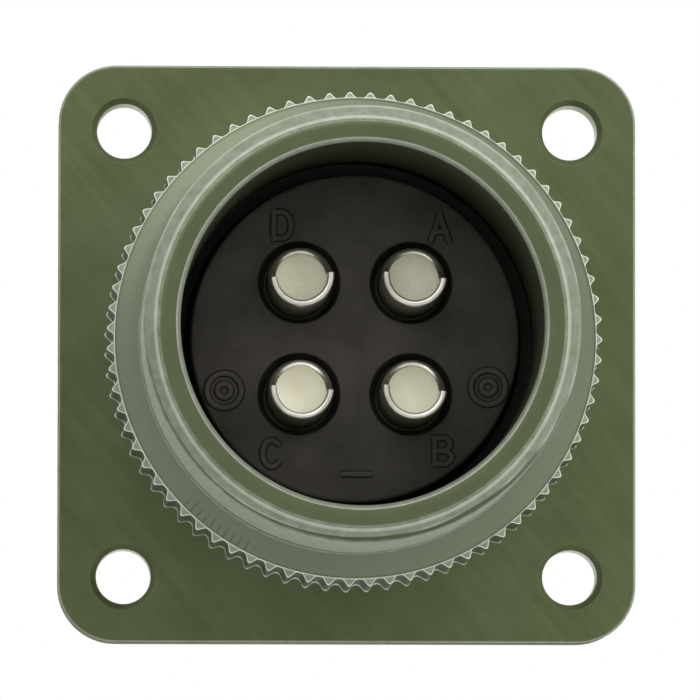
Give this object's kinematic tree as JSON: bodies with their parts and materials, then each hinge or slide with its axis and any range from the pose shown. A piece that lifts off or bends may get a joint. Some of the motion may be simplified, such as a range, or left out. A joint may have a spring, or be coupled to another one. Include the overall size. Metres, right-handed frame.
{
  "type": "wall mount receptacle",
  "caption": "Square-flanged circular connector receptacle with threaded coupling barrel, screwed-on knurled back shell, split insulator and solder-cup socket contacts.",
  "frame": {"origin": "centre of the four screw holes, on the flange's panel face", "axes": "+Y along the connector axis to the mating side, -Y to the wiring side, +Z to the side of the polarising keyway, +X to the right seen from the wiring side"},
  "size_m": [0.035, 0.0503, 0.035],
  "materials": {
    "olive_shell": "olive drab conversion coating, satin",
    "olive_back_shell": "olive drab conversion coating, turned and knurled, edges worn pale",
    "black_insulator": "moulded phenolic, matte",
    "silvered_contact": "silver plated, bright",
    "spring_steel": "spring steel, blackened"
  },
  "bodies": {
    "receptacle": {"receptacle_shell": "olive_shell", "front_insert": "black_insulator", "rear_insert": "black_insulator", "insert_washer": "spring_steel", "insert_retaining_ring": "spring_steel", "contact_a": "silvered_contact", "contact_b": "silvered_contact", "contact_c": "silvered_contact", "contact_d": "silvered_contact", "contact_sleeve_a": "spring_steel", "contact_sleeve_b": "spring_steel", "contact_sleeve_c": "spring_steel", "contact_sleeve_d": "spring_steel"},
    "back_shell": {"back_shell": "olive_back_shell"}
  },
  "joints": [
    {"name": "back_shell_unscrews", "type": "slide", "parent": "receptacle", "child": "back_shell", "axis": [0, -1, 0], "range_m": [0, 0.018]}
  ]
}
